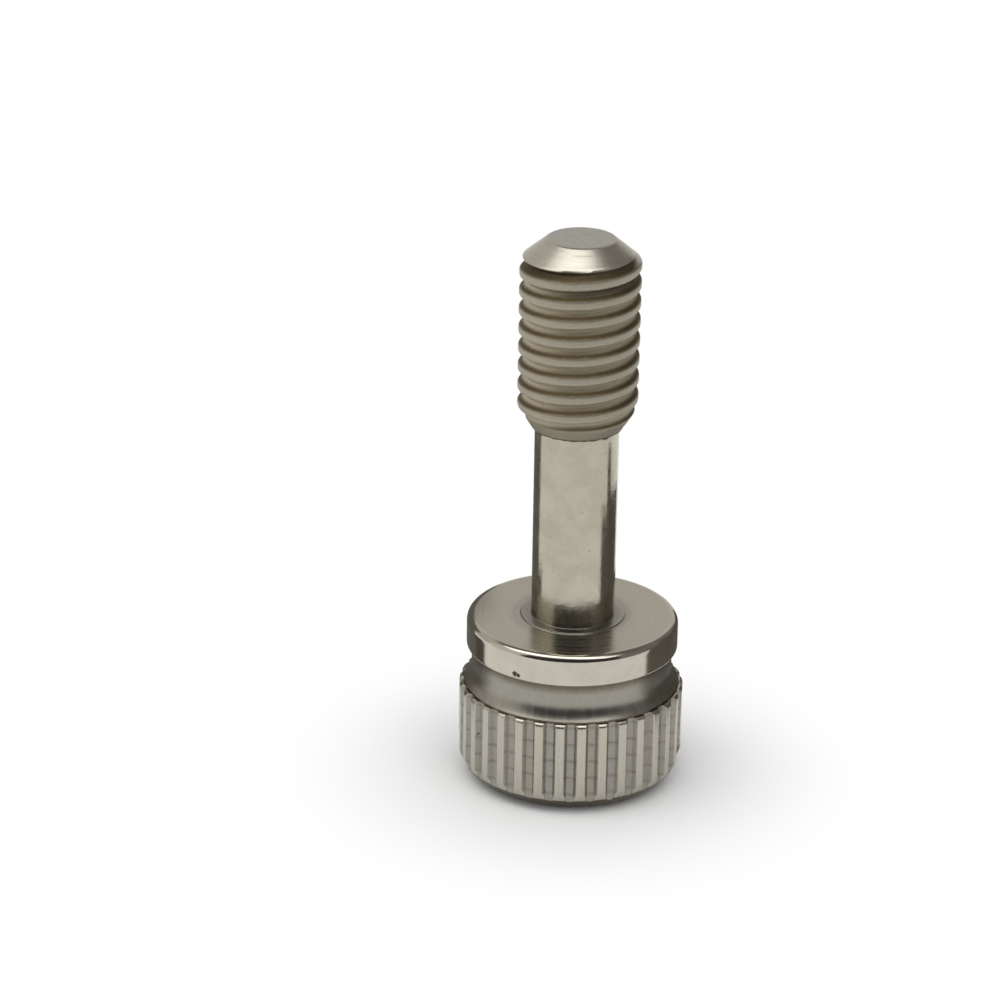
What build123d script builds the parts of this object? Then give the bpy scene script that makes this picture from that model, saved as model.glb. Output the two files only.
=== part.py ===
"""Captive thumb screw, M5, standing on the flat face of its head.

Millimetres. +Z runs up the screw's axis from the centre of the head's flat end
face to the tip of the thread. The screwdriver slot runs along X. One turned
piece, written as one solid.
"""
from build123d import *
import math
import os

os.makedirs("parts", exist_ok=True)

# head: flat face with a screwdriver slot, crowned edge, straight-knurled grip
face_r = 3.80
grip_r = 4.65
crown_z = 1.00
crown_via_r = 4.47
crown_via_z = 0.58
grip_top_z = 4.02
lip_r = 4.46
lip_foot_z = 4.08
lip_z = 4.165
slot_width = 1.30
slot_depth = 1.50
slot_run = 12.00

# straight knurl: grooves of one depth, which run out in the crowned edge and stop
# at the lip, whose wall stands just inside their floors
knurl_count = 33
knurl_depth = 0.18
knurl_mouth = 0.54
knurl_floor = 0.30
knurl_over = 0.10
knurl_cut_z = 5.30

# neck between the grip and the collar, which flares out to the lip
neck_r = 4.15
neck_flare = 1.00

# collar, with a rounded edge on the shank side
collar_r = 4.37
collar_low_z = 5.73
collar_z = 7.05
collar_edge = 0.30

# shallow raised ring where the shank meets the collar
ring_r = 2.15
ring_h = 0.05

# plain shank, thinner than the thread, so that a panel can hold the screw captive
shank_r = 1.72
shank_end_z = 15.36
run_out_r = 1.86
run_out_z = 15.42

# M5 x 0.8 right-hand thread
thread_r = 2.45
thread_low_z = 16.35
thread_pitch = 0.80
thread_root_r = 2.05
thread_root_flat = 0.10
thread_flank_angle = 30
thread_over = 0.04
tip_r = 1.47
total_z = 23.40
groove_start_z = 14.763


def flats(centre_r, centre_z, radius, first_angle, last_angle, count):
    """Ends of a few straight flats that stand for a round edge of the half section."""
    turn = (last_angle - first_angle) / count
    angles = [math.radians(first_angle + turn * step) for step in range(count + 1)]
    return [(centre_r + radius * math.cos(a), centre_z + radius * math.sin(a)) for a in angles]


flare_angle = math.degrees(math.acos(1 - (lip_r - neck_r) / neck_flare))
flare_z = lip_z + neck_flare * math.sin(math.radians(flare_angle))
neck_foot = flats(neck_r + neck_flare, flare_z, neck_flare, 180 + flare_angle, 180, 4)
rounded_edge = flats(collar_r - collar_edge, collar_z - collar_edge, collar_edge, 0, 90, 3)

with BuildPart() as thumb_screw:
    # the turned shape
    with BuildSketch(Plane.XZ):
        with BuildLine():
            Line((0, 0), (face_r, 0))
            ThreePointArc((face_r, 0), (crown_via_r, crown_via_z), (grip_r, crown_z))
            Line((grip_r, crown_z), (grip_r, grip_top_z))
            Line((grip_r, grip_top_z), (lip_r, lip_foot_z))
            Line((lip_r, lip_foot_z), (lip_r, lip_z))
            Polyline((lip_r, lip_z), *neck_foot[1:])
            Line(neck_foot[-1], (neck_r, collar_low_z))
            Line((neck_r, collar_low_z), (collar_r, collar_low_z))
            Line((collar_r, collar_low_z), rounded_edge[0])
            Polyline(*rounded_edge)
            Line(rounded_edge[-1], (ring_r, collar_z))
            Line((ring_r, collar_z), (ring_r, collar_z + ring_h))
            Line((ring_r, collar_z + ring_h), (shank_r, collar_z + ring_h))
            Line((shank_r, collar_z + ring_h), (shank_r, shank_end_z))
            Line((shank_r, shank_end_z), (run_out_r, run_out_z))
            Line((run_out_r, run_out_z), (thread_r, thread_low_z))
            Line((thread_r, thread_low_z), (thread_r, total_z - (thread_r - tip_r)))
            Line((thread_r, total_z - (thread_r - tip_r)), (tip_r, total_z))
            Line((tip_r, total_z), (0, total_z))
            Line((0, total_z), (0, 0))
        make_face()
    revolve(axis=Axis.Z)

    # thread groove, one turn at a time: it starts beside the shank, below the cone
    # under the thread, and ends above the tip
    outer_r = thread_r + thread_over
    half_root = thread_root_flat / 2
    flank_slope = math.tan(math.radians(thread_flank_angle))
    half_outer = half_root + (outer_r - thread_root_r) * flank_slope
    turns = math.ceil((total_z + half_outer - groove_start_z) / thread_pitch)
    for turn_number in range(turns):
        turn_z = groove_start_z + turn_number * thread_pitch
        with BuildLine():
            Helix(
                pitch=thread_pitch,
                height=thread_pitch,
                radius=thread_r,
                center=(0, 0, turn_z),
            )
        with BuildSketch(Plane.XZ):
            Polygon(
                (thread_root_r, turn_z - half_root),
                (outer_r, turn_z - half_outer),
                (outer_r, turn_z + half_outer),
                (thread_root_r, turn_z + half_root),
                align=None,
            )
        sweep(is_frenet=True, mode=Mode.SUBTRACT)

    # knurl grooves: straight, so each one is open at the grip's top and fades out in
    # the crown below it; a rib stands at +X
    floor_r = grip_r - knurl_depth
    mouth_r = grip_r + knurl_over
    half_floor = knurl_floor / 2
    half_mouth = half_floor + (knurl_mouth - knurl_floor) / 2 * (mouth_r - floor_r) / knurl_depth
    with BuildSketch(Plane.XY):
        with PolarLocations(0, knurl_count, start_angle=180 / knurl_count):
            Polygon(
                (floor_r, -half_floor),
                (mouth_r, -half_mouth),
                (mouth_r, half_mouth),
                (floor_r, half_floor),
                align=None,
            )
    extrude(amount=knurl_cut_z, mode=Mode.SUBTRACT)

    # screwdriver slot across the head's face
    with BuildSketch(Plane.XY):
        Rectangle(slot_run, slot_width)
    extrude(amount=slot_depth, mode=Mode.SUBTRACT)

thumb_screw.part.label = "thumb_screw"
export_step(thumb_screw.part, "parts/thumb_screw.step")
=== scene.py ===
import math

import bmesh
import bpy
import numpy as np
from mathutils import Matrix, Vector


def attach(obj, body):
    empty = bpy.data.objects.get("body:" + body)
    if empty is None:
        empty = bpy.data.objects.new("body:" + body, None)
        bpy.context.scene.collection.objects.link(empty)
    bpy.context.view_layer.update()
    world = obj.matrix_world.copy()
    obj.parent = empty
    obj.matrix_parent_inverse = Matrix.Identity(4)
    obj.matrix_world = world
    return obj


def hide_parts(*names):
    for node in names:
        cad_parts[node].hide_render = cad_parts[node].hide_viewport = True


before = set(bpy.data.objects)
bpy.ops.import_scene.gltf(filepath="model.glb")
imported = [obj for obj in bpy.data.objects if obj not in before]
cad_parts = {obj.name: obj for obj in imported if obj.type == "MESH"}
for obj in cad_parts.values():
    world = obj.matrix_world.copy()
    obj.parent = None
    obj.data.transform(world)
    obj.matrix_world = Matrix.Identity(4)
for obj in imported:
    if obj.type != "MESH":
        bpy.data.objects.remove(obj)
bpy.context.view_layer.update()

# The looks of a captive thumb screw that stands on its head. The screw is one mesh,
# worked out from the same driving dimensions as the CAD part, with rounded edges,
# a full helical thread and a straight knurl, and it stands for the CAD node.

MM = 0.001

# ---------------------------------------------------------------- driving dimensions, mm
face_r = 3.80
grip_r = 4.65
crown_z = 1.00
crown_via_r = 4.47
crown_via_z = 0.58
grip_top_z = 4.02
lip_r = 4.46
lip_foot_z = 4.08
lip_z = 4.165
slot_width = 1.30
slot_depth = 1.50

knurl_count = 33
knurl_depth = 0.18
knurl_mouth = 0.54
knurl_floor = 0.30

neck_r = 4.15
neck_flare = 1.00
collar_r = 4.37
collar_low_z = 5.73
collar_z = 7.05
collar_edge = 0.30
ring_r = 2.15
ring_h = 0.05

shank_r = 1.72
shank_end_z = 15.36
run_out_r = 1.86
run_out_z = 15.42
thread_r = 2.45
thread_low_z = 16.35
thread_pitch = 0.80
thread_root_r = 2.05
thread_root_flat = 0.10
thread_flank_angle = 30
groove_start_z = 14.763
tip_r = 1.47
total_z = 23.40
flare_angle = math.acos(1 - (lip_r - neck_r) / neck_flare)
flare_z = lip_z + neck_flare * math.sin(flare_angle)

# ---------------------------------------------------------------- mesh
COLUMNS_PER_RIB = 16                     # as many as knurl_columns sets out
COARSER = 3                              # the shaft has one column for so many of the head's
STRAIGHT = 1e-4                          # a corner that turns less, in radians, isn't rounded
MERGE = 1e-7                             # points nearer than this, in metres, are one
SHARP_ANGLE = 38                         # degrees; shading is smooth over flatter edges

# parts of the surface, each with its own finish
FACE, RIB, GROOVE, NECK, RIM, COLLAR_TOP, SHANK, THREAD, TIP = range(9)


# ---------------------------------------------------------------- shapes
def rounded(corners, steps=4):
    """The line through (x, y, radius) corners, with each corner turned into an arc."""
    line = [np.array(corners[0][:2], float)]
    for before, corner, after in zip(corners, corners[1:], corners[2:]):
        here = np.array(corner[:2], float)
        back = np.array(before[:2], float) - here
        ahead = np.array(after[:2], float) - here
        back /= np.linalg.norm(back)
        ahead /= np.linalg.norm(ahead)
        half_turn = (math.pi - math.acos(np.clip(back @ ahead, -1, 1))) / 2
        radius = corner[2]
        if radius == 0 or half_turn < STRAIGHT:
            line.append(here)
            continue
        middle = (back + ahead) / np.linalg.norm(back + ahead)
        centre = here + middle * radius / math.cos(half_turn)
        across = (back - ahead) / np.linalg.norm(back - ahead)
        for step in range(steps + 1):
            turn = half_turn * (1 - 2 * step / steps)
            line.append(centre + radius * (across * math.sin(turn) - middle * math.cos(turn)))
    line.append(np.array(corners[-1][:2], float))
    return line


def arc_through(start, via, end, steps):
    """Points on the arc from start through via to end, without its two ends."""
    (ax, ay), (bx, by), (cx, cy) = start, via, end
    d = 2 * (ax * (by - cy) + bx * (cy - ay) + cx * (ay - by))
    ux = ((ax**2 + ay**2) * (by - cy) + (bx**2 + by**2) * (cy - ay) + (cx**2 + cy**2) * (ay - by)) / d
    uy = ((ax**2 + ay**2) * (cx - bx) + (bx**2 + by**2) * (ax - cx) + (cx**2 + cy**2) * (bx - ax)) / d
    radius = math.hypot(ax - ux, ay - uy)
    first = math.atan2(ay - uy, ax - ux)
    last = math.atan2(cy - uy, cx - ux)
    turns = [first + (last - first) * step / steps for step in range(1, steps)]
    return [(ux + radius * math.cos(turn), uy + radius * math.sin(turn)) for turn in turns]


def smooth_min(a, b, width):
    """The lesser of a and b, with the corner between them rounded over width."""
    near = np.clip(width - np.abs(a - b), 0, None) / width
    return np.minimum(a, b) - near**2 * width / 4


def smooth_max(a, b, width):
    """The greater of a and b, with the corner between them rounded over width."""
    return -smooth_min(-a, -b, width)


# ---------------------------------------------------------------- the head: knurled grip
CHATTER_STEP = 0.75                      # faint steps that the knurling wheel left in the grooves
CHATTER_Z = [0.94 + CHATTER_STEP * step for step in range(4)]
CHATTER_DEPTH = 0.012
CHATTER_HALF = 0.035
KNURL_EDGE = 0.03                        # rounding of the ribs' edges and the grooves' corners
KNURL_WEAR = (-0.012, 0.004)             # how much a groove's depth may differ
CARVED_FROM = 0.003                      # depth from which the surface counts as groove

# roundings of the half section, from the face up
FACE_EDGE = 0.05
RIB_TOP_EDGE = 0.15
RIB_CHAMFER_EDGE = 0.02
LIP_FOOT = 0.01
LIP_EDGE = 0.03
RIB_CHAMFER = 0.095                      # 45 degrees, from the ribs' tops in towards the lip
RIB_CHAMFER_Z = grip_top_z - 0.03
CROWN_STEPS = 24
FLARE_STEPS = 12

rib_pitch = 2 * math.pi * grip_r / knurl_count
rib_top = rib_pitch - knurl_mouth
wall_slope = knurl_depth / ((knurl_mouth - knurl_floor) / 2)


def knurl_columns():
    """Angles of the mesh's columns and how far each stands from its rib's middle, in mm."""
    edge = rib_top / 2
    floor_edge = (rib_pitch - knurl_floor) / 2
    # closest together round the rib's edge and the groove's corner
    half = [0, 0.62 * edge, edge - 0.022, edge + 0.004, edge + 0.03, (edge + floor_edge) / 2 + 0.01,
            floor_edge, floor_edge + 0.035, rib_pitch / 2]
    offsets = np.array(half + [rib_pitch - x for x in half[-2:0:-1]])
    along = np.concatenate([offsets + rib * rib_pitch for rib in range(knurl_count)])
    return along / grip_r, np.tile(np.minimum(offsets, rib_pitch - offsets), knurl_count)


def groove_surface(offset, z, depth):
    """Radius of the knurl groove's own surface at an offset from the rib's middle."""
    chatter = sum(np.exp(-((z - mark) / CHATTER_HALF) ** 2) for mark in CHATTER_Z)
    floor = depth + CHATTER_DEPTH * chatter
    wall = wall_slope * (offset - rib_top / 2)
    return grip_r - smooth_min(wall, floor, KNURL_EDGE)


def head_profile():
    """Half section of the head from its flat face up to the neck, as (r, z) rows.

    Corners with a rounding of 0 only give the mesh a row.
    """
    crown = arc_through((face_r, 0), (crown_via_r, crown_via_z), (grip_r, crown_z), CROWN_STEPS)
    corners = [(face_r - 0.20, 0, 0), (face_r, 0, FACE_EDGE)]
    corners += [(r, z, 0) for r, z in crown]
    corners += [(grip_r, crown_z, 0)]
    # rows enough to shape each chatter mark
    marks = [mark + step * CHATTER_HALF for mark in CHATTER_Z for step in (-1.6, -0.7, 0, 0.7, 1.6)]
    corners += [(grip_r, z, 0) for z in marks if z > crown_z + 0.01]
    corners += [
        (grip_r, grip_top_z - 0.12, 0),
        (grip_r, RIB_CHAMFER_Z, RIB_TOP_EDGE),
        (grip_r - RIB_CHAMFER, RIB_CHAMFER_Z + RIB_CHAMFER, RIB_CHAMFER_EDGE),
        (lip_r, lip_foot_z, LIP_FOOT),
        (lip_r, lip_z, LIP_EDGE),
    ]
    turns = [flare_angle * (1 - step / FLARE_STEPS) for step in range(1, FLARE_STEPS + 1)]
    corners += [
        (neck_r + neck_flare * (1 - math.cos(turn)), flare_z - neck_flare * math.sin(turn), 0)
        for turn in turns
    ]
    return rounded(corners)


def head_rings():
    """Angles of the columns, and for each row its radii, its height and where it is carved."""
    angles, offset = knurl_columns()
    rng = np.random.default_rng(7)
    # the columns run from rib middle to rib middle, so each pitch holds one groove
    depth = np.repeat(knurl_depth + rng.uniform(*KNURL_WEAR, knurl_count), COLUMNS_PER_RIB)
    rings = []
    for r, z in head_profile():
        groove = groove_surface(offset, z, depth)
        rings.append((smooth_min(r, groove, KNURL_EDGE), z, groove < r - CARVED_FROM))
    return angles, rings


# ---------------------------------------------------------------- collar and shank
# roundings of the half section, from the neck up
NECK_CORNER = 0.10
COLLAR_LOW_EDGE = 0.07
RING_FOOT = 0.03
RING_EDGE = 0.02
SHANK_FOOT = 0.02
THREAD_BOTTOM_Z = 14.40                  # the rows that climb with the thread start here


def collar_profile():
    """Half section from the neck over the collar to the plain shank."""
    corners = [
        (neck_r, flare_z + 0.04, 0),
        (neck_r, 5.20, 0),
        (neck_r, collar_low_z, NECK_CORNER),
        (collar_r, collar_low_z, COLLAR_LOW_EDGE),
        (collar_r, collar_low_z + 0.12, 0),
        (collar_r, collar_z - collar_edge - 0.08, 0),
        (collar_r, collar_z, collar_edge),
        (collar_r - collar_edge - 0.06, collar_z, 0),
        (3.10, collar_z, 0),
        (ring_r + 0.12, collar_z, 0),
        (ring_r, collar_z, RING_FOOT),
        (ring_r, collar_z + ring_h, RING_EDGE),
        (shank_r, collar_z + ring_h, SHANK_FOOT),
    ]
    corners += [(shank_r, z, 0) for z in (7.40, 9.80, 12.20, THREAD_BOTTOM_Z)]
    return rounded(corners, steps=6)


def shaft_angles():
    """Angles of the columns from the collar up."""
    return knurl_columns()[0][::COARSER]


# ---------------------------------------------------------------- thread
THREAD_TOP_Z = 23.05                     # and end here; the cone above them is plain
CREST_ROUNDING = 0.17
ROOT_ROUNDING = 0.16
ROOT_FILL = 0.10                         # plating and dirt in the bottom of the thread
RUN_OUT_SINK = 0.24                      # how much deeper the groove goes as it runs out

# roundings of the blank that the thread is cut into
RUN_OUT_EDGE = 0.03
THREAD_LOW_EDGE = 0.30
THREAD_HIGH_EDGE = 0.25

# the screw's end is a little fuller than the CAD's plain cone: (z, r) of its edges
cone_z = total_z - (thread_r - tip_r) + 0.08
END_EDGES = ((cone_z, thread_r), (total_z - 0.03, tip_r - 0.07), (total_z, tip_r - 0.16))
CONE_EDGE = 0.07
TIP_EDGE = 0.10
TIP_RING = 0.12                          # how far inside the flat tip's edge the last ring is


def thread_envelope(z):
    """Radius of the turned blank that the thread is cut into."""
    line = rounded([
        (THREAD_BOTTOM_Z - 2, shank_r, 0),
        (shank_end_z, shank_r, RUN_OUT_EDGE),
        (run_out_z, run_out_r, RUN_OUT_EDGE),
        (thread_low_z, thread_r, THREAD_LOW_EDGE),
        (*END_EDGES[0], THREAD_HIGH_EDGE),
        (*END_EDGES[1], 0),
    ], steps=6)
    zs, rs = np.array(line).T
    return np.interp(z, zs, rs)


def thread_surface(z, rise):
    """Radius of the thread's groove at a height above the groove's middle line."""
    offset = np.abs((rise + thread_pitch / 2) % thread_pitch - thread_pitch / 2)
    # the groove goes deeper as it runs out towards the shank
    root = thread_root_r + ROOT_FILL - np.interp(z, (run_out_z, thread_low_z), (RUN_OUT_SINK, 0))
    flank = root + (offset - thread_root_flat / 2) / math.tan(math.radians(thread_flank_angle))
    return smooth_max(flank, root, ROOT_ROUNDING)


def thread_rings():
    """Rows that climb with the thread, held between two level rings at its ends."""
    climb = thread_pitch * shaft_angles() / (2 * math.pi)
    # closest together at the groove's bottom and at the crest's edges
    half = np.array([0, 0.03, 0.06, 0.10, 0.16, 0.21, 0.24, 0.27, 0.30, 0.34, 0.40])
    offsets = np.concatenate([half, thread_pitch - half[-2:0:-1]])
    first = math.floor((THREAD_BOTTOM_Z - groove_start_z) / thread_pitch) - 1
    last = math.ceil((THREAD_TOP_Z - groove_start_z) / thread_pitch) + 1
    rings = []
    starts = [groove_start_z + turn * thread_pitch for turn in range(first, last)]
    for start in [start + offset for start in starts for offset in offsets]:
        z = np.clip(start + climb, THREAD_BOTTOM_Z, THREAD_TOP_Z)
        groove = thread_surface(z, z - climb - groove_start_z)
        blank = thread_envelope(z)
        rings.append((smooth_min(blank, groove, CREST_ROUNDING), z))
    return rings, len(offsets)


def tip_profile():
    """Half section from the cone over its two edges to the flat tip."""
    (edge_z, edge_r), (flat_z, flat_r) = END_EDGES[1:]
    return rounded([
        (thread_envelope(THREAD_TOP_Z), THREAD_TOP_Z, 0),
        (edge_r, edge_z, CONE_EDGE),
        (flat_r, flat_z, TIP_EDGE),
        (flat_r - TIP_RING, flat_z, 0),
    ])


# ---------------------------------------------------------------- the mesh
FACE_END_Z = 0.02                        # heights at which one finish goes over to the next
NECK_END_Z = collar_low_z + 0.01
TIP_START_Z = total_z - 0.005
HAIR = 0.001                             # so little over a radius still counts as on it


class Surface:
    """Points and faces of one closed surface, gathered ring by ring."""

    def __init__(self):
        self.points = []
        self.faces = []
        self.zones = []

    def ring(self, angles, radius, z):
        """Adds one point for each angle and returns their numbers."""
        first = len(self.points)
        radius, z, angles = np.broadcast_arrays(radius, z, angles)
        self.points += np.stack([radius * np.cos(angles), radius * np.sin(angles), z], 1).tolist()
        return list(range(first, len(self.points)))

    def face(self, corners, zone):
        """Adds one face, given by the numbers of its points."""
        self.faces.append(corners)
        self.zones.append(int(zone))

    def band(self, low, high, zone, low_next=None, high_next=None):
        """Faces between two rings. Each ring closes on itself, or goes on at its next point."""
        low = low + [low[0] if low_next is None else low_next]
        high = high + [high[0] if high_next is None else high_next]
        zones = np.broadcast_to(zone, len(low) - 1)
        for i, piece in enumerate(zones):
            self.face((low[i], low[i + 1], high[i + 1], high[i]), piece)

    def fan_band(self, fine, coarse, zone):
        """Faces between a fine ring and one above it that has a fraction of its points."""
        ratio = len(fine) // len(coarse)
        for i in range(len(coarse)):
            bottom = [fine[(i * ratio + k) % len(fine)] for k in range(ratio + 1)]
            self.face(bottom + [coarse[(i + 1) % len(coarse)], coarse[i]], zone)


def add_head(surface):
    """The face, the crowned edge, the knurl and the flare, up to the neck."""
    angles, rings = head_rings()
    low = None
    for radius, z, carved in rings:
        high = surface.ring(angles, radius, z)
        if low is None:
            surface.face(high[::-1], FACE)
        elif z < FACE_END_Z:
            surface.band(low, high, FACE)
        elif z > lip_z:
            surface.band(low, high, NECK)
        else:
            surface.band(low, high, np.where(carved & np.roll(carved, -1), GROOVE, RIB))
        low = high
    return low


def add_collar(surface, low):
    """The rest of the neck, the collar and the plain shank."""
    angles = shaft_angles()
    rows = collar_profile()
    high = surface.ring(angles, *rows[0])
    surface.fan_band(low, high, NECK)
    for (r_before, _), (r, z) in zip(rows, rows[1:]):
        low = high
        high = surface.ring(angles, r, z)
        if z <= NECK_END_Z:
            zone = NECK
        elif max(r, r_before) > collar_r - collar_edge + HAIR:
            zone = RIM
        elif r > shank_r + HAIR:
            zone = COLLAR_TOP
        else:
            zone = SHANK
        surface.band(low, high, zone)
    return high


def add_thread(surface, low):
    """The thread and its run-out."""
    angles = shaft_angles()
    rings, rows_per_turn = thread_rings()
    rows = [surface.ring(angles, radius, z) for radius, z in rings]
    surface.band(low, rows[0], SHANK)
    for k in range(len(rows) - 1):
        # past its last column a row goes on as the row one turn higher
        above = [rows[min(k + step + rows_per_turn, len(rows) - 1)][0] for step in (0, 1)]
        zone = np.where(rings[k + 1][1] < shank_end_z, SHANK, THREAD)
        surface.band(rows[k], rows[k + 1], zone, *above)
    return rows[-1]


def add_tip(surface, low):
    """The end of the cone and the flat tip."""
    for r, z in tip_profile():
        high = surface.ring(shaft_angles(), r, z)
        surface.band(low, high, TIP if z > TIP_START_Z else THREAD)
        low = high
    surface.face(low, TIP)


def slot_cutter():
    """A closed prism along X: the slot with a small bevel at its mouth and in its corners."""
    half, mouth, corner, out = slot_width / 2, 0.05, 0.04, 0.50
    side = [
        (half + mouth + out, -out),
        (half, mouth),
        (half, slot_depth - corner),
        (half - corner, slot_depth),
    ]
    outline = side + [(-y, z) for y, z in reversed(side)]
    reach = 2 * grip_r
    points = [(x * MM, y * MM, z * MM) for x in (-reach, reach) for y, z in outline]
    count = len(outline)
    faces = [tuple(range(count)), tuple(range(2 * count - 1, count - 1, -1))]
    faces += [(i, i + count, (i + 1) % count + count, (i + 1) % count) for i in range(count)]
    mesh = bpy.data.meshes.new("slot_cutter")
    mesh.from_pydata(points, [], faces)
    cutter = bpy.data.objects.new("slot_cutter", mesh)
    bpy.context.scene.collection.objects.link(cutter)
    clean(mesh)
    return cutter


def clean(mesh, merge=0.0):
    """Merges points that fall together and turns every face outwards."""
    cells = bmesh.new()
    cells.from_mesh(mesh)
    if merge:
        bmesh.ops.remove_doubles(cells, verts=cells.verts, dist=merge)
    bmesh.ops.recalc_face_normals(cells, faces=cells.faces)
    cells.to_mesh(mesh)
    cells.free()


def build_screw(materials):
    """The screw as one mesh, with the slot cut into it."""
    surface = Surface()
    low = add_head(surface)
    low = add_collar(surface, low)
    low = add_thread(surface, low)
    add_tip(surface, low)

    mesh = bpy.data.meshes.new("screw_body")
    mesh.from_pydata([[x * MM for x in point] for point in surface.points], [], surface.faces)
    mesh.polygons.foreach_set("material_index", surface.zones)
    for material in materials:
        mesh.materials.append(material)
    clean(mesh, merge=MERGE)
    screw = bpy.data.objects.new("screw_body", mesh)
    bpy.context.scene.collection.objects.link(screw)

    cutter = slot_cutter()
    cutter.data.materials.append(materials[FACE])
    cut = screw.modifiers.new("slot", "BOOLEAN")
    cut.operation = "DIFFERENCE"
    cut.solver = "EXACT"
    cut.object = cutter
    apply_modifiers(screw)
    bpy.data.objects.remove(cutter)

    screw.data.polygons.foreach_set("use_smooth", [True] * len(screw.data.polygons))
    screw.data.set_sharp_from_angle(angle=math.radians(SHARP_ANGLE))
    weigh = screw.modifiers.new("normals", "WEIGHTED_NORMAL")
    weigh.keep_sharp = True
    apply_modifiers(screw)
    return screw


def apply_modifiers(piece):
    """Gives the piece the mesh that its modifiers make."""
    bpy.context.view_layer.update()
    shown = piece.evaluated_get(bpy.context.evaluated_depsgraph_get())
    mesh = bpy.data.meshes.new_from_object(shown)
    piece.modifiers.clear()
    piece.data = mesh


# ---------------------------------------------------------------- materials
class Finish:
    """One metal finish, built from nodes that read places on the screw in millimetres."""

    def __init__(self, name):
        self.material = bpy.data.materials.new(name)
        self.material.use_nodes = True
        self.nodes = self.material.node_tree.nodes
        self.links = self.material.node_tree.links
        self.shader = self.nodes["Principled BSDF"]
        self.shader.inputs["Metallic"].default_value = 1.0
        place = self.nodes.new("ShaderNodeTexCoord")
        scale = self.nodes.new("ShaderNodeVectorMath")
        scale.operation = "SCALE"
        scale.inputs["Scale"].default_value = 1 / MM
        self.links.new(place.outputs["Object"], scale.inputs[0])
        self.place = scale.outputs[0]
        split = self.nodes.new("ShaderNodeSeparateXYZ")
        self.links.new(self.place, split.inputs[0])
        self.x, self.y, self.z = split.outputs
        self.r = self.math("SQRT", self.math("ADD", self.math("MULTIPLY", self.x, self.x),
                                             self.math("MULTIPLY", self.y, self.y)))
        self.turn = self.math("ARCTAN2", self.y, self.x)

    def put(self, value, socket):
        """Links a node's output to a socket, or sets the socket to a number or a colour."""
        if isinstance(value, bpy.types.NodeSocket):
            self.links.new(value, socket)
        elif isinstance(value, tuple):
            socket.default_value = (*value, 1) if len(socket.default_value) == 4 else value
        else:
            socket.default_value = value

    def math(self, operation, *values):
        """One arithmetic step."""
        node = self.nodes.new("ShaderNodeMath")
        node.operation = operation
        for value, socket in zip(values, node.inputs):
            self.put(value, socket)
        return node.outputs[0]

    def vector(self, x, y, z):
        """A vector made of three values."""
        node = self.nodes.new("ShaderNodeCombineXYZ")
        for value, socket in zip((x, y, z), node.inputs):
            self.put(value, socket)
        return node.outputs[0]

    def stretched(self, along_r, along_turn, along_z):
        """The place in polar terms, each one scaled; the turn goes round without a seam."""
        return self.vector(
            self.math("MULTIPLY", self.math("COSINE", self.turn), along_turn),
            self.math("MULTIPLY", self.math("SINE", self.turn), along_turn),
            self.math("ADD", self.math("MULTIPLY", self.r, along_r), self.math("MULTIPLY", self.z, along_z)),
        )

    def noise(self, place, scale, detail=3.0, roughness=0.55):
        """Noise round 0.5 at a place."""
        node = self.nodes.new("ShaderNodeTexNoise")
        node.inputs["Scale"].default_value = scale
        node.inputs["Detail"].default_value = detail
        node.inputs["Roughness"].default_value = roughness
        self.links.new(place, node.inputs["Vector"])
        return node.outputs["Fac"]

    def span(self, value, low, high, to_low=0.0, to_high=1.0):
        """Maps low..high to to_low..to_high, smoothly and without going past them."""
        node = self.nodes.new("ShaderNodeMapRange")
        node.interpolation_type = "SMOOTHSTEP"
        for setting, name in ((value, "Value"), (low, "From Min"), (high, "From Max"),
                              (to_low, "To Min"), (to_high, "To Max")):
            self.put(setting, node.inputs[name])
        return node.outputs[0]

    def mix(self, amount, first, second):
        """A colour between first, where amount is 0, and second, where it is 1."""
        node = self.nodes.new("ShaderNodeMix")
        node.data_type = "RGBA"
        colours = [socket for socket in node.inputs if socket.type == "RGBA"]
        self.put(amount, node.inputs[0])
        self.put(first, colours[0])
        self.put(second, colours[1])
        return next(socket for socket in node.outputs if socket.type == "RGBA")

    def spot(self, angle, height, reach, radius):
        """1 inside a small ragged spot on the side of the screw."""
        turn = math.radians(angle)
        middle = (radius * math.cos(turn), radius * math.sin(turn), height)
        node = self.nodes.new("ShaderNodeVectorMath")
        node.operation = "DISTANCE"
        self.put(self.place, node.inputs[0])
        self.put(middle, node.inputs[1])
        ragged = self.math("MULTIPLY", self.math("SUBTRACT", self.noise(self.place, 9.0), 0.5), 1.4 * reach)
        return self.span(self.math("ADD", node.outputs["Value"], ragged), reach, 0.5 * reach)

    def relief(self, height, depth):
        """A bump of depth millimetres, on top of the one before it."""
        node = self.nodes.new("ShaderNodeBump")
        node.inputs["Distance"].default_value = depth * MM
        self.put(height, node.inputs["Height"])
        if self.shader.inputs["Normal"].links:
            self.links.new(self.shader.inputs["Normal"].links[0].from_socket, node.inputs["Normal"])
        self.links.new(node.outputs[0], self.shader.inputs["Normal"])

    def brushed(self, amount, across):
        """Blurs reflections across the turning marks, which run round the screw."""
        tangent = self.nodes.new("ShaderNodeTangent")
        tangent.direction_type = "RADIAL"
        tangent.axis = "Z"
        self.links.new(tangent.outputs[0], self.shader.inputs["Tangent"])
        self.shader.inputs["Anisotropic"].default_value = amount
        self.shader.inputs["Anisotropic Rotation"].default_value = 0.25 if across else 0.0

    def finish(self, colour, roughness):
        """The finished material."""
        self.put(colour, self.shader.inputs["Base Color"])
        self.put(roughness, self.shader.inputs["Roughness"])
        return self.material


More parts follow.
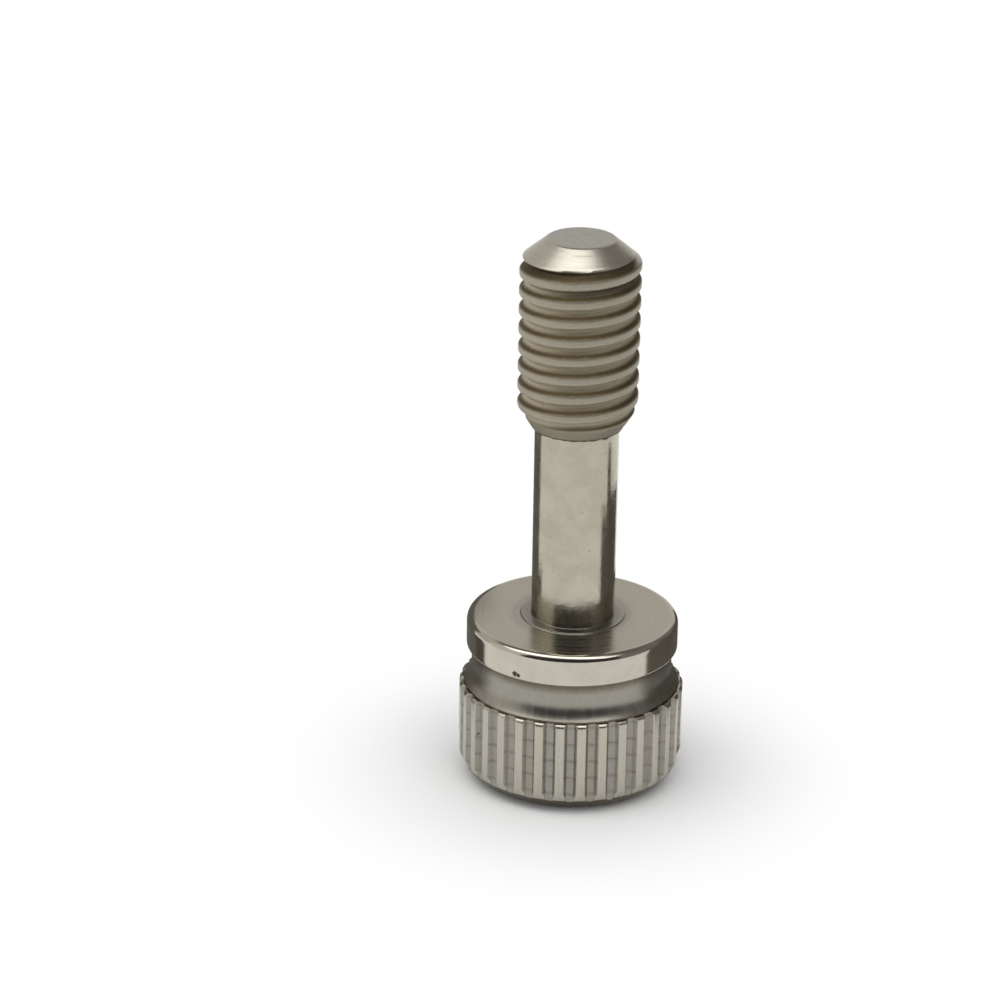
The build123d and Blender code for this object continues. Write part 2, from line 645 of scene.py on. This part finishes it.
# the two colours between which the bare metal of each part changes
DULL = (0.40, 0.375, 0.31)
FACE_METAL = (DULL, (0.52, 0.485, 0.41))
RIB_METAL = ((0.45, 0.42, 0.35), (0.50, 0.47, 0.395))
GROOVE_METAL = ((0.33, 0.318, 0.278), (0.43, 0.415, 0.36))
NECK_METAL = ((0.30, 0.285, 0.245), (0.355, 0.34, 0.29))
RIM_METAL = ((0.49, 0.46, 0.39), (0.55, 0.515, 0.44))
COLLAR_METAL = ((0.45, 0.425, 0.365), (0.49, 0.46, 0.395))
SHANK_METAL = ((0.42, 0.395, 0.315), (0.48, 0.45, 0.365))
CREST_METAL = ((0.42, 0.385, 0.31), (0.50, 0.46, 0.37))
CONE_METAL = ((0.50, 0.47, 0.40), (0.56, 0.53, 0.455))
TIP_METAL = ((0.46, 0.455, 0.415), (0.56, 0.55, 0.50))

# painted light: the flanks and the root are lighter than the crest, standing in for the floor's light that
# they catch
FLANK_PAINTED_LIGHT = (0.64, 0.585, 0.47)
RUN_OUT_METAL = (0.37, 0.34, 0.27)
# painted reflection of the shank, on the collar's top next to it
NEAR_SHANK_PAINTED_REFLECTION = (0.24, 0.23, 0.205)
PIT = (0.30, 0.27, 0.20)

# GRIME is real dirt; the others are painted shade
GRIME = (0.085, 0.065, 0.040)
FOOT_PAINTED_SHADE = (0.115, 0.088, 0.045)
LIP_PAINTED_SHADE = (0.12, 0.10, 0.07)
CORNER_PAINTED_SHADE = (0.15, 0.125, 0.09)
UPPER_FLANK_PAINTED_SHADE = (0.14, 0.105, 0.055)
LAST_GAP_PAINTED_SHADE = (0.10, 0.075, 0.045)
RUN_OUT_PAINTED_SHADOW = (0.16, 0.13, 0.085)

# heights over which the painted shade on the crowned edge's foot fades out, above and below
FOOT_SHADE_ABOVE = (0.66, 0.42)
FOOT_SHADE_BELOW = (0.06, 0.24)

# the same for the painted shade on the thread's upward flanks, as heights above the groove's middle line
FLANK_SHADE_ABOVE = (0.75, 0.64)
FLANK_SHADE_BELOW = (0.49, 0.61)

# where the photograph shows specks: turn in degrees, height and reach in mm
GROOVE_SPECK = (-140.0, 2.60, 0.16)
RIM_SPECKS = ((-114.2, 5.96, 0.15), (-112.0, 5.92, 0.12))

# the middle of a short darker mark across the cone
DARK_MARK_TURN = math.radians(-80)
DARK_MARK_Z = total_z - 0.20


def mottled(finish, low, high, scale=1.3):
    """A slow change between two colours, with finer patches inside it."""
    slow = finish.noise(finish.place, scale, 4.0, 0.6)
    return finish.mix(finish.span(slow, 0.32, 0.68), low, high)


def end_face():
    """The flat face and the slot, with fine turning marks."""
    finish = Finish("end_face")
    rings = finish.noise(finish.stretched(9.0, 0.5, 0.0), 3.0, 4.0)
    colour = mottled(finish, *FACE_METAL)
    finish.relief(rings, 0.004)
    finish.brushed(0.6, across=True)
    return finish.finish(colour, finish.span(rings, 0.3, 0.7, 0.26, 0.40))


def rib():
    """The ribs' tops, the crowned edge and the lip."""
    finish = Finish("rib")
    streaks = finish.noise(finish.stretched(0.0, 60.0, 0.6), 1.0, 3.0)
    colour = finish.mix(finish.span(streaks, 0.35, 0.65), *RIB_METAL)
    # painted shade: the foot of the crowned edge is darkened, standing in for the floor's contact shadow
    # that it reflects
    low = finish.math("ADD", finish.z, finish.math("MULTIPLY", finish.noise(finish.place, 2.0), 0.3))
    foot = finish.math("MULTIPLY", finish.span(low, *FOOT_SHADE_ABOVE),
                       finish.span(finish.z, *FOOT_SHADE_BELOW))
    colour = finish.mix(foot, colour, FOOT_PAINTED_SHADE)
    # painted shade: the step under the neck is darkened too, standing in for the shade it lies in
    colour = finish.mix(finish.span(finish.r, lip_r + 0.05, lip_r + 0.02), colour, LIP_PAINTED_SHADE)
    finish.relief(finish.noise(finish.place, 5.0, 3.0), 0.001)
    return finish.finish(colour, finish.span(streaks, 0.3, 0.7, 0.20, 0.30))


def groove():
    """The knurl's grooves, rougher than the ribs."""
    finish = Finish("groove")
    grain = finish.noise(finish.place, 7.0, 5.0, 0.6)
    colour = finish.mix(finish.span(grain, 0.3, 0.7), *GROOVE_METAL)
    # dark lines where the knurling wheel stepped on
    shift = finish.math("MULTIPLY", finish.noise(finish.stretched(0.0, 9.0, 0.0), 1.0), 0.20)
    height = finish.math("ADD", finish.math("SUBTRACT", finish.z, CHATTER_Z[0] + 0.10), shift)
    near = finish.math("PINGPONG", height, CHATTER_STEP / 2)
    ragged = finish.math("ADD", near, finish.math("MULTIPLY", finish.noise(finish.place, 7.0), 0.08))
    colour = finish.mix(finish.span(ragged, 0.02, 0.16, 0.7, 1.0), GRIME, colour)
    colour = finish.mix(finish.spot(*GROOVE_SPECK, grip_r - knurl_depth), colour, GRIME)
    finish.relief(grain, 0.008)
    return finish.finish(colour, finish.span(grain, 0.3, 0.7, 0.42, 0.56))


def neck():
    """The neck and its flare."""
    finish = Finish("neck")
    streaks = finish.noise(finish.stretched(1.0, 26.0, 1.0), 1.0, 4.0, 0.7)
    colour = finish.mix(finish.span(streaks, 0.25, 0.75), *NECK_METAL)
    # painted shade in the corner under the collar, where the collar's overhang shades the neck
    corner = finish.math("ADD", finish.z, finish.math("MULTIPLY", streaks, 0.25))
    under_collar_shade = finish.span(corner, collar_low_z - 0.43, collar_low_z + 0.02)
    colour = finish.mix(under_collar_shade, colour, CORNER_PAINTED_SHADE)
    finish.relief(streaks, 0.0020)
    return finish.finish(colour, finish.span(streaks, 0.3, 0.7, 0.30, 0.38))


def rim():
    """The collar's side and its rounded edge, the brightest part."""
    finish = Finish("rim")
    rings = finish.noise(finish.stretched(0.0, 0.8, 14.0), 1.0, 4.0)
    colour = mottled(finish, *RIM_METAL, 0.9)
    speck = finish.math("MAXIMUM", *(finish.spot(*place, collar_r) for place in RIM_SPECKS))
    colour = finish.mix(speck, colour, GRIME)
    finish.relief(rings, 0.0012)
    return finish.finish(colour, finish.span(speck, 0.0, 1.0, 0.12, 0.55))


def collar_top():
    """The flat top of the collar, with turning marks."""
    finish = Finish("collar_top")
    rings = finish.noise(finish.stretched(5.0, 0.3, 0.0), 2.0, 4.0, 0.5)
    colour = finish.mix(finish.span(rings, 0.25, 0.75), *COLLAR_METAL)
    # painted reflection: the metal next to the shank is darker, in rings, standing in for the shank's dark
    # reflection
    out = finish.math("ADD", finish.r, finish.math("MULTIPLY", rings, 0.9))
    colour = finish.mix(finish.span(out, ring_r - 0.05, ring_r + 1.15), NEAR_SHANK_PAINTED_REFLECTION, colour)
    finish.relief(rings, 0.0010)
    finish.brushed(0.55, across=True)
    return finish.finish(colour, finish.span(rings, 0.3, 0.7, 0.22, 0.30))


def shank():
    """The plain shank, nearly polished, with pits."""
    finish = Finish("shank")
    colour = mottled(finish, *SHANK_METAL, 1.1)
    rings = finish.noise(finish.stretched(0.0, 0.6, 9.0), 1.0, 4.0)
    pits = finish.span(finish.noise(finish.place, 7.0, 3.0), 0.66, 0.72)
    colour = finish.mix(pits, colour, PIT)
    finish.relief(finish.noise(finish.place, 3.0, 4.0), 0.006)
    finish.relief(rings, 0.001)
    worn = finish.noise(finish.place, 2.4, 4.0)
    return finish.finish(colour, finish.span(worn, 0.3, 0.7, 0.13, 0.22))


def thread():
    """The thread, its run-out and the cone at the end."""
    finish = Finish("thread")
    grain = finish.noise(finish.place, 5.0, 5.0, 0.65)
    crest = finish.mix(finish.span(grain, 0.3, 0.7), *CREST_METAL)
    # painted light: deeper than the crest, the flanks and the root take the lighter flank colour
    lit_flank = finish.span(finish.r, thread_r - 0.02, thread_r - 0.15)
    colour = finish.mix(lit_flank, crest, FLANK_PAINTED_LIGHT)
    # painted shade: the flanks that face up are darkened brown, as the turn above keeps the light off them;
    # rise is the height above the groove's middle line
    climb = finish.math("MULTIPLY", finish.turn, thread_pitch / (2 * math.pi))
    rise = finish.math("SUBTRACT", finish.math("SUBTRACT", finish.z, groove_start_z), climb)
    rise = finish.math("FLOORED_MODULO", rise, thread_pitch)
    rise = finish.math("ADD", rise, finish.math("MULTIPLY", finish.math("SUBTRACT", grain, 0.5), 0.05))
    upper_flank_shade = finish.math("MULTIPLY", finish.span(rise, *FLANK_SHADE_BELOW),
                        finish.span(rise, *FLANK_SHADE_ABOVE))
    colour = finish.mix(upper_flank_shade, colour, UPPER_FLANK_PAINTED_SHADE)
    # painted shade: the last gap, under the end's cone, is darkened where the cone's overhang shades it
    last = finish.math("MULTIPLY", finish.span(finish.z, cone_z - 0.90, cone_z - 0.50),
                       finish.span(finish.r, thread_r - 0.05, thread_r - 0.15))
    colour = finish.mix(last, colour, LAST_GAP_PAINTED_SHADE)
    # the run-out is duller; painted shadow darkens it where it meets the shank, under the run-out's ridge
    duller = finish.span(finish.z, run_out_z + 0.38, thread_low_z - 0.15)
    colour = finish.mix(duller, RUN_OUT_METAL, colour)
    colour = finish.mix(finish.span(finish.z, run_out_z, run_out_z + 0.10), RUN_OUT_PAINTED_SHADOW, colour)
    # the end's cone is smoother and brighter than the thread
    (low_z, low_r), (high_z, high_r) = END_EDGES[:2]
    slope = (low_r - high_r) / (high_z - low_z)
    cone_r = finish.math("SUBTRACT", high_r + slope * high_z, finish.math("MULTIPLY", finish.z, slope))
    on_cone = finish.span(finish.math("SUBTRACT", finish.r, cone_r), -0.07, -0.03)
    swirl = finish.noise(finish.stretched(6.0, 0.7, 0.0), 1.6, 4.0)
    bright = finish.mix(finish.span(swirl, 0.3, 0.7), *CONE_METAL)
    # a short darker mark
    turn = finish.math("ABSOLUTE", finish.math("SUBTRACT", finish.turn, DARK_MARK_TURN))
    line = finish.math("ABSOLUTE", finish.math("ADD", finish.math("SUBTRACT", finish.z, DARK_MARK_Z),
                                               finish.math("MULTIPLY", swirl, 0.04)))
    dark_mark = finish.math("MULTIPLY", finish.span(turn, 0.36, 0.10), finish.span(line, 0.045, 0.01))
    bright = finish.mix(dark_mark, bright, DULL)
    colour = finish.mix(on_cone, colour, bright)
    rough = finish.span(grain, 0.3, 0.7, 0.56, 0.66)
    finish.relief(grain, 0.006)
    return finish.finish(colour, finish.span(on_cone, 0.0, 1.0, rough, 0.34))


def tip():
    """The flat tip, rough from the bar's end."""
    finish = Finish("tip")
    grain = finish.noise(finish.place, 3.0, 5.0, 0.6)
    colour = finish.mix(finish.span(grain, 0.3, 0.7), *TIP_METAL)
    finish.relief(grain, 0.004)
    return finish.finish(colour, finish.span(grain, 0.3, 0.7, 0.40, 0.50))


# in the order of the zones
materials = [make() for make in (end_face, rib, groove, neck, rim, collar_top, shank, thread, tip)]

screw = build_screw(materials)
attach(screw, "root")
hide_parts("thumb_screw")


# ---------------------------------------------------------------- floor, light and camera
def card(name, centre, size, facing, colour, strength):
    """A flat board that only reflections see."""
    mesh = bpy.data.meshes.new(name)
    w, h = size[0] / 2, size[1] / 2
    mesh.from_pydata([(-w, -h, 0), (w, -h, 0), (w, h, 0), (-w, h, 0)], [], [(0, 1, 2, 3)])
    board = bpy.data.objects.new(name, mesh)
    board.location = centre
    board.rotation_euler = (Vector(facing) - Vector(centre)).to_track_quat("Z", "Y").to_euler()
    material = bpy.data.materials.new(name)
    material.use_nodes = True
    nodes = material.node_tree.nodes
    nodes.clear()
    glow = nodes.new("ShaderNodeEmission")
    glow.inputs["Color"].default_value = (*colour, 1)
    glow.inputs["Strength"].default_value = strength
    out = nodes.new("ShaderNodeOutputMaterial")
    material.node_tree.links.new(glow.outputs[0], out.inputs["Surface"])
    mesh.materials.append(material)
    board.visible_camera = False
    board.visible_diffuse = False
    board.visible_shadow = False
    board.visible_transmission = False
    bpy.context.scene.collection.objects.link(board)
    return board


# azimuths run to the right from the camera's side, in degrees; sizes are in metres
FLOOR_REACH = 2.0
FLOOR_TONE = 0.95
FLOOR_ROUGHNESS = 0.8
FLOOR_FADE = (0.003, 0.013)              # distances over which the shadow gives way to white
FILL = 0.74
LAMP_PLACE = (-20, 75, 0.42)
LAMP_SIZE = (0.75, 0.22)
LAMP_STRENGTH = 1.6
LAMP_AIM = Vector((0, 0, 0.012))
TENT = 0.40
TENT_HEIGHT = 0.46
WALL_COLOUR = (1.0, 0.97, 0.93)

# azimuth, how far it spreads to each side in degrees, and how bright
WALLS = (
    ("wall_front", 0, 54, 0.05),
    ("wall_left", -76, 22, 0.80),
    ("wall_left_back", -124, 26, 0.60),
    ("wall_back", 180, 31, 0.68),
    ("wall_right_back", 117, 32, 0.22),
    ("wall_right", 69, 16, 0.25),
)
# azimuth, distance out, size, and how bright
ROOFS = (
    ("roof_front", 0, 0.330, (1.2, 0.14), 0.28),
    ("roof_back", 180, 0.190, (1.2, 0.40), 0.18),
    ("roof_right", 90, 0.420, (0.80, 0.50), 0.18),
)

FLAG_COLOUR = (1.0, 0.93, 0.82)

# azimuth, then distance, width and height in mm, and how bright
FLAGS = (
    ("flag_left_low", -100, 11.2, 3.4, 5.0, 0.10),
    ("flag_left", -133, 10.4, 10.7, 12.0, 0.16),
    ("flag_right", 88, 11.3, 5.6, 8.0, 0.14),
    ("flag_right_tall", 97, 11.2, 2.4, 11.0, 0.14),
    ("flag_right_back", 124, 11.2, 8.5, 8.6, 0.12),
    ("flag_right_low", 115, 11.0, 6.8, 4.5, 0.12),
    ("flag_back", 156, 11.0, 10.0, 4.5, 0.10),
)

LENS = 136.8                             # mm, on a sensor 36 mm wide
SENSOR = 36
CLIP_START = 0.01
camera_distance = 143.334 * MM
camera_height = 71.856 * MM
camera_azimuth = math.radians(7.6)
camera_yaw = math.radians(1.23)
camera_pitch = math.radians(22.65)
camera_roll = math.radians(0.89)


def around(azimuth, elevation, distance):
    """A point seen from the screw at an azimuth from the camera's side, to the right of it."""
    turn = math.radians(azimuth) + camera_azimuth
    rise = math.radians(elevation)
    flat = distance * math.cos(rise)
    return Vector((flat * math.sin(turn), -flat * math.cos(turn), distance * math.sin(rise)))


def add_flag(name, azimuth, distance, width, height, tone):
    """A dark upright card close behind the screw, where its neighbours stood."""
    foot = around(azimuth, 0, distance * MM)
    size = (width * MM, height * MM)
    card(name, foot + Vector((0, 0, size[1] / 2)), size, (0, 0, size[1] / 2), FLAG_COLOUR, tone)


def add_wall(name, azimuth, spread, tone):
    """One wall of the light tent round the screw, as wide as its spread to each side."""
    width = 2 * TENT * math.tan(math.radians(spread))
    middle = Vector((0, 0, TENT_HEIGHT / 2))
    card(name, around(azimuth, 0, TENT) + middle, (width, TENT_HEIGHT), middle, WALL_COLOUR, tone)


def add_roof(name, azimuth, reach, size, tone):
    """A level part of the light tent over the screw, its width across the azimuth."""
    centre = around(azimuth, 0, reach) + Vector((0, 0, TENT_HEIGHT))
    board = card(name, centre, size, centre - Vector((0, 0, 1)), WALL_COLOUR, tone)
    board.rotation_euler = (math.pi, 0, camera_azimuth + math.radians(azimuth))


def add_camera():
    """The camera as it was fitted to the photograph."""
    lens = bpy.data.cameras.new("camera")
    lens.lens = LENS
    lens.sensor_width = SENSOR
    lens.clip_start = CLIP_START
    camera = bpy.data.objects.new("camera", lens)
    camera.location = (
        camera_distance * math.sin(camera_azimuth),
        -camera_distance * math.cos(camera_azimuth),
        camera_height,
    )
    turn = Matrix.Rotation(camera_azimuth + camera_yaw, 4, "Z")
    tilt = Matrix.Rotation(math.pi / 2 - camera_pitch, 4, "X")
    roll = Matrix.Rotation(camera_roll, 4, "Z")
    camera.rotation_euler = (turn @ tilt @ roll).to_euler()
    bpy.context.scene.collection.objects.link(camera)
    bpy.context.scene.camera = camera


def add_lamp(name, azimuth, elevation, distance, size, strength):
    """A flat lamp that shines on the screw."""
    light = bpy.data.lights.new(name, "AREA")
    light.shape = "RECTANGLE"
    light.size, light.size_y = size
    # power for a radiance of strength on the lamp's face
    light.energy = strength * math.pi * size[0] * size[1]
    lamp = bpy.data.objects.new(name, light)
    lamp.location = around(azimuth, elevation, distance)
    lamp.rotation_euler = (lamp.location - LAMP_AIM).to_track_quat("Z", "Y").to_euler()
    bpy.context.scene.collection.objects.link(lamp)


def seen_directly(nodes, links):
    """1 for camera, glossy and transmission rays, and 0 for the rays that light things."""
    path = nodes.new("ShaderNodeLightPath")
    total = path.outputs["Is Camera Ray"]
    for name in ("Is Glossy Ray", "Is Transmission Ray"):
        more = nodes.new("ShaderNodeMath")
        more.operation = "MAXIMUM"
        links.new(total, more.inputs[0])
        links.new(path.outputs[name], more.inputs[1])
        total = more.outputs[0]
    return total


def add_floor():
    """A pale floor that keeps the screw's shadow and turns to plain white away from it."""
    mesh = bpy.data.meshes.new("floor")
    reach = FLOOR_REACH
    corners = [(-reach, -reach, 0), (reach, -reach, 0), (reach, reach, 0), (-reach, reach, 0)]
    mesh.from_pydata(corners, [], [(0, 1, 2, 3)])
    floor = bpy.data.objects.new("floor", mesh)
    bpy.context.scene.collection.objects.link(floor)
    material = bpy.data.materials.new("floor")
    material.use_nodes = True
    nodes, links = material.node_tree.nodes, material.node_tree.links
    shader = nodes["Principled BSDF"]
    shader.inputs["Base Color"].default_value = (FLOOR_TONE, FLOOR_TONE, FLOOR_TONE, 1)
    shader.inputs["Roughness"].default_value = FLOOR_ROUGHNESS
    place = nodes.new("ShaderNodeTexCoord")
    distance = nodes.new("ShaderNodeVectorMath")
    distance.operation = "LENGTH"
    links.new(place.outputs["Object"], distance.inputs[0])
    away = nodes.new("ShaderNodeMapRange")
    away.interpolation_type = "SMOOTHSTEP"
    away.inputs["From Min"].default_value = FLOOR_FADE[0]
    away.inputs["From Max"].default_value = FLOOR_FADE[1]
    links.new(distance.outputs["Value"], away.inputs["Value"])
    amount = nodes.new("ShaderNodeMath")
    amount.operation = "MULTIPLY"
    links.new(away.outputs[0], amount.inputs[0])
    links.new(seen_directly(nodes, links), amount.inputs[1])
    white = nodes.new("ShaderNodeEmission")
    mix = nodes.new("ShaderNodeMixShader")
    links.new(amount.outputs[0], mix.inputs["Fac"])
    links.new(shader.outputs[0], mix.inputs[1])
    links.new(white.outputs[0], mix.inputs[2])
    links.new(mix.outputs[0], nodes["Material Output"].inputs["Surface"])
    mesh.materials.append(material)


def add_world():
    """White where it is seen straight or in the metal, and a plain fill for everything else."""
    world = bpy.data.worlds.new("studio")
    bpy.context.scene.world = world
    world.use_nodes = True
    nodes, links = world.node_tree.nodes, world.node_tree.links
    nodes.clear()
    fill = nodes.new("ShaderNodeBackground")
    fill.inputs["Strength"].default_value = FILL
    white = nodes.new("ShaderNodeBackground")
    white.inputs["Color"].default_value = (1, 1, 1, 1)
    white.inputs["Strength"].default_value = 1.0
    mix = nodes.new("ShaderNodeMixShader")
    out = nodes.new("ShaderNodeOutputWorld")
    links.new(seen_directly(nodes, links), mix.inputs["Fac"])
    links.new(fill.outputs[0], mix.inputs[1])
    links.new(white.outputs[0], mix.inputs[2])
    links.new(mix.outputs[0], out.inputs["Surface"])


add_camera()
add_floor()
add_world()
add_lamp("top_light", *LAMP_PLACE, LAMP_SIZE, LAMP_STRENGTH)
for wall in WALLS:
    add_wall(*wall)
for flag in FLAGS:
    add_flag(*flag)
for roof in ROOFS:
    add_roof(*roof)

bpy.context.scene.view_settings.view_transform = "Standard"
